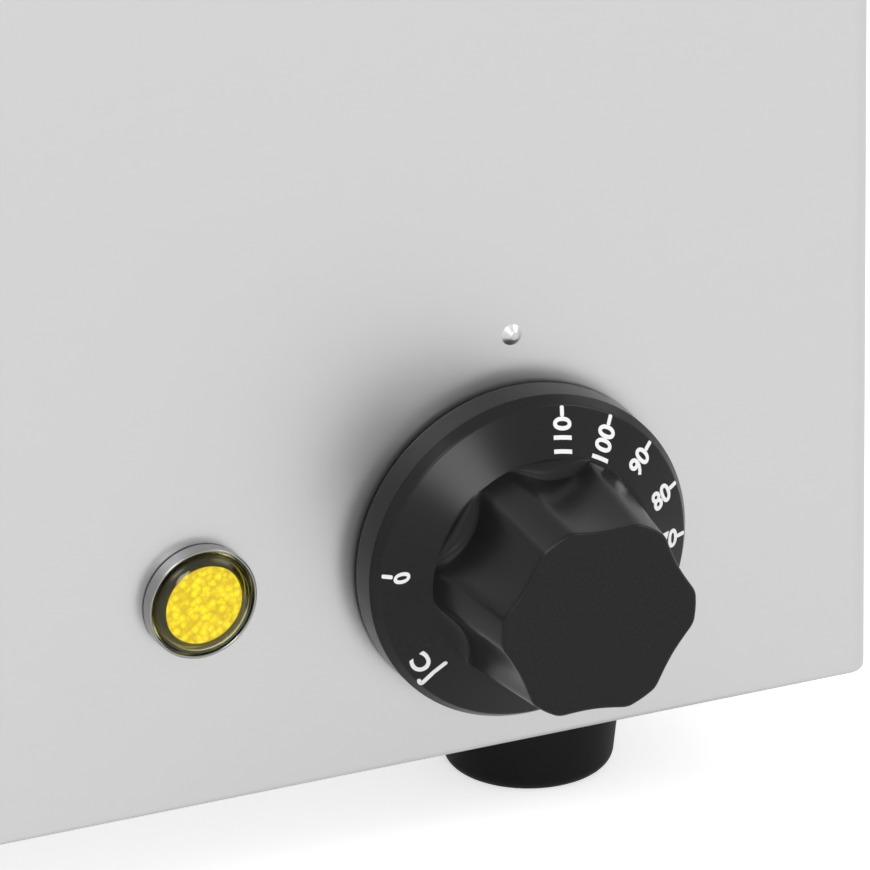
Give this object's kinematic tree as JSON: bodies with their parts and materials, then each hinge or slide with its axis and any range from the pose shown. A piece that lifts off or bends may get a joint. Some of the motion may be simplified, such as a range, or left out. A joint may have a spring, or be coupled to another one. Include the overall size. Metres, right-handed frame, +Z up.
{
  "type": "electric bain-marie",
  "caption": "Countertop electric bain-marie: stainless water well with lift-out pans under hinged lids, thermostat knob, pilot lamp and drain tap.",
  "frame": {"origin": "on the table under the middle of the object's box", "axes": "+X to the right along the front, +Y to the back, +Z up"},
  "size_m": [0.5926, 0.4423, 0.2785],
  "materials": {
    "satin_steel": "satin stainless",
    "bright_steel": "bright",
    "plated_brass": "nickel plated",
    "black_rubber": "matt",
    "black_plastic": "satin black",
    "amber_lens": "clear amber",
    "pale_insulator": "matt"
  },
  "bodies": {
    "housing": {"base_plate": "satin_steel", "cable_gland": "black_plastic", "casing_wrap": "satin_steel", "clamp_nut_1": "bright_steel", "clamp_nut_2": "bright_steel", "clamp_nut_3": "bright_steel", "clamp_nut_4": "bright_steel", "drain_pipe": "bright_steel", "element_clamp_1": "satin_steel", "element_clamp_2": "satin_steel", "foot_front_left": "black_rubber", "foot_front_right": "black_rubber", "foot_rear_left": "black_rubber", "foot_rear_right": "black_rubber", "foot_screw_front_left": "bright_steel", "foot_screw_front_right": "bright_steel", "foot_screw_rear_left": "bright_steel", "foot_screw_rear_right": "bright_steel", "gland_nut": "black_plastic", "heating_element": "bright_steel", "lamp_bezel": "bright_steel", "lamp_body": "black_plastic", "lamp_clip": "satin_steel", "lamp_lens": "amber_lens", "pan_bar_1": "satin_steel", "pan_bar_2": "satin_steel", "sensor_bulb": "plated_brass", "tap_body": "plated_brass", "tap_lock_nut": "plated_brass", "tap_spout": "plated_brass", "terminal_block": "pale_insulator", "thermostat_body": "pale_insulator", "thermostat_screw_left": "bright_steel", "thermostat_screw_right": "bright_steel", "top_deck": "satin_steel", "water_well": "satin_steel"},
    "knob": {"control_knob": "black_plastic", "control_shaft": "bright_steel"},
    "tap_handle": {"tap_ball": "plated_brass", "tap_lever": "bright_steel", "tap_lever_grip": "black_plastic", "tap_lever_nut": "bright_steel"},
    "pan_1": {"pan_1": "satin_steel"},
    "lid_1": {"lid_rear_1": "satin_steel", "lid_pin_1": "bright_steel"},
    "flap_1": {"lid_front_1": "satin_steel", "lid_handle_1": "bright_steel"},
    "pan_2": {"pan_2": "satin_steel"},
    "lid_2": {"lid_rear_2": "satin_steel", "lid_pin_2": "bright_steel"},
    "flap_2": {"lid_front_2": "satin_steel", "lid_handle_2": "bright_steel"},
    "pan_3": {"pan_3": "satin_steel"},
    "lid_3": {"lid_rear_3": "satin_steel", "lid_pin_3": "bright_steel"},
    "flap_3": {"lid_front_3": "satin_steel", "lid_handle_3": "bright_steel"}
  },
  "joints": [
    {"name": "knob_turn", "type": "hinge", "parent": "housing", "child": "knob", "pos_m": [0.2195, -0.151, 0.0645], "axis": [0, -1, 0], "range_deg": [0, 270]},
    {"name": "tap_turn", "type": "hinge", "parent": "housing", "child": "tap_handle", "pos_m": [-0.225, -0.1743, 0.0645], "axis": [0, 0, -1], "range_deg": [0, 90]},
    {"name": "pan_lift_1", "type": "slide", "parent": "housing", "child": "pan_1", "axis": [0, 0, 1], "range_m": [0, 0.13]},
    {"name": "lid_lift_1", "type": "slide", "parent": "pan_1", "child": "lid_1", "axis": [0, 0, 1], "range_m": [0, 0.05]},
    {"name": "lid_open_1", "type": "hinge", "parent": "lid_1", "child": "flap_1", "pos_m": [-0.1766, 0.0777, 0.2476], "axis": [-1, 0, 0], "range_deg": [0, 105]},
    {"name": "pan_lift_2", "type": "slide", "parent": "housing", "child": "pan_2", "axis": [0, 0, 1], "range_m": [0, 0.13]},
    {"name": "lid_lift_2", "type": "slide", "parent": "pan_2", "child": "lid_2", "axis": [0, 0, 1], "range_m": [0, 0.05]},
    {"name": "lid_open_2", "type": "hinge", "parent": "lid_2", "child": "flap_2", "pos_m": [0, 0.0777, 0.2476], "axis": [-1, 0, 0], "range_deg": [0, 105]},
    {"name": "pan_lift_3", "type": "slide", "parent": "housing", "child": "pan_3", "axis": [0, 0, 1], "range_m": [0, 0.13]},
    {"name": "lid_lift_3", "type": "slide", "parent": "pan_3", "child": "lid_3", "axis": [0, 0, 1], "range_m": [0, 0.05]},
    {"name": "lid_open_3", "type": "hinge", "parent": "lid_3", "child": "flap_3", "pos_m": [0.1766, 0.0777, 0.2476], "axis": [-1, 0, 0], "range_deg": [0, 105]}
  ]
}
